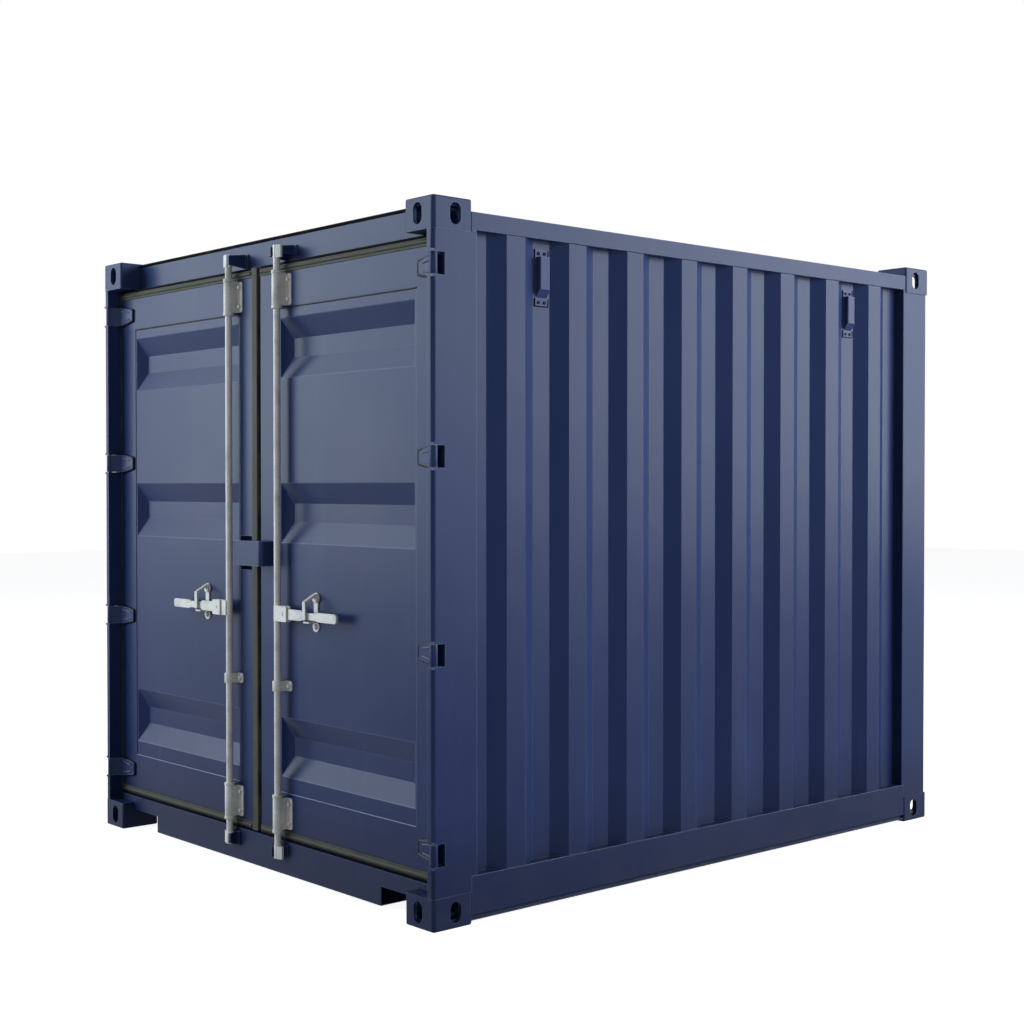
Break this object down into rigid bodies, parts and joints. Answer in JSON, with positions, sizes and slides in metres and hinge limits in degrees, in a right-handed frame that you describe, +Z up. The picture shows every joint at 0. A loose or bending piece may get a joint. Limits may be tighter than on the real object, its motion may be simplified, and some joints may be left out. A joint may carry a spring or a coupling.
{
  "type": "freight container",
  "caption": "Ten foot steel freight container with corrugated walls, corner castings and outward swinging doors with lock bars.",
  "frame": {"origin": "on the ground under the middle of the container", "axes": "+Z up, +Y towards the blind end along the container, +X to the right hand side wall seen from the doors"},
  "size_m": [2.438, 2.991, 2.591],
  "materials": {
    "navy_paint": "satin, lightly scuffed",
    "galvanised_steel": "hot dip galvanised, dull",
    "door_rubber": "matt extruded rubber",
    "floor_plywood": "worn plywood",
    "vent_paint": "satin"
  },
  "bodies": {
    "frame": {"bottom_corner_castings": "navy_paint", "top_corner_castings": "navy_paint", "left_door_post": "navy_paint", "right_door_post": "navy_paint", "left_rear_post": "navy_paint", "right_rear_post": "navy_paint", "hinge_pins": "galvanised_steel", "left_bottom_rail": "navy_paint", "right_bottom_rail": "navy_paint", "left_top_rail": "navy_paint", "right_top_rail": "navy_paint", "door_header": "navy_paint", "door_sill": "navy_paint", "rear_bottom_rail": "navy_paint", "rear_top_rail": "navy_paint", "floor_crossmembers": "navy_paint", "floor_boards": "floor_plywood", "left_side_wall": "navy_paint", "right_side_wall": "navy_paint", "end_wall": "navy_paint", "roof_panel": "navy_paint", "left_wall_vents": "vent_paint", "right_wall_vents": "vent_paint", "cam_keepers": "navy_paint"},
    "left_door": {"left_door_stiles": "navy_paint", "left_door_rails": "navy_paint", "left_door_panel": "navy_paint", "left_door_gasket": "door_rubber", "left_hinge_blades": "navy_paint", "left_bar_bearings": "galvanised_steel", "left_catch_base": "galvanised_steel", "left_lock_pocket": "navy_paint"},
    "left_bar": {"left_lock_bar": "galvanised_steel", "left_bar_fittings": "galvanised_steel"},
    "left_handle_body": {"left_handle": "galvanised_steel"},
    "left_catch": {"left_handle_catch": "galvanised_steel"},
    "right_door": {"right_door_stiles": "navy_paint", "right_door_rails": "navy_paint", "right_door_panel": "navy_paint", "right_door_gasket": "door_rubber", "right_hinge_blades": "navy_paint", "right_bar_bearings": "galvanised_steel", "right_catch_base": "galvanised_steel", "right_lock_box": "navy_paint"},
    "right_bar": {"right_lock_bar": "galvanised_steel", "right_bar_fittings": "galvanised_steel"},
    "right_handle_body": {"right_handle": "galvanised_steel"},
    "right_catch": {"right_handle_catch": "galvanised_steel"}
  },
  "joints": [
    {"name": "right_door_hinge", "type": "hinge", "parent": "frame", "child": "right_door", "pos_m": [1.2, -1.479, 1.311], "axis": [0, 0, 1], "range_deg": [0, 265]},
    {"name": "right_bar_turn", "type": "hinge", "parent": "right_door", "child": "right_bar", "pos_m": [0.182, -1.464, 1.301], "axis": [0, 0, 1], "range_deg": [-100, 0]},
    {"name": "right_handle_lift", "type": "hinge", "parent": "right_bar", "child": "right_handle_body", "pos_m": [0.25, -1.476, 1.06479], "axis": [0, 1, 0], "range_deg": [-10, 0]},
    {"name": "right_catch_swivel", "type": "hinge", "parent": "right_door", "child": "right_catch", "pos_m": [0.408, -1.4383, 1.13379], "axis": [0, -1, 0], "range_deg": [-95, 0]},
    {"name": "left_door_hinge", "type": "hinge", "parent": "frame", "child": "left_door", "pos_m": [-1.2, -1.479, 1.311], "axis": [0, 0, -1], "range_deg": [0, 265]},
    {"name": "left_bar_turn", "type": "hinge", "parent": "left_door", "child": "left_bar", "pos_m": [-0.182, -1.464, 1.301], "axis": [0, 0, -1], "range_deg": [-100, 0]},
    {"name": "left_handle_lift", "type": "hinge", "parent": "left_bar", "child": "left_handle_body", "pos_m": [-0.25, -1.476, 1.06479], "axis": [0, -1, 0], "range_deg": [-10, 0]},
    {"name": "left_catch_swivel", "type": "hinge", "parent": "left_door", "child": "left_catch", "pos_m": [-0.408, -1.4383, 1.13379], "axis": [0, 1, 0], "range_deg": [-95, 0]}
  ]
}
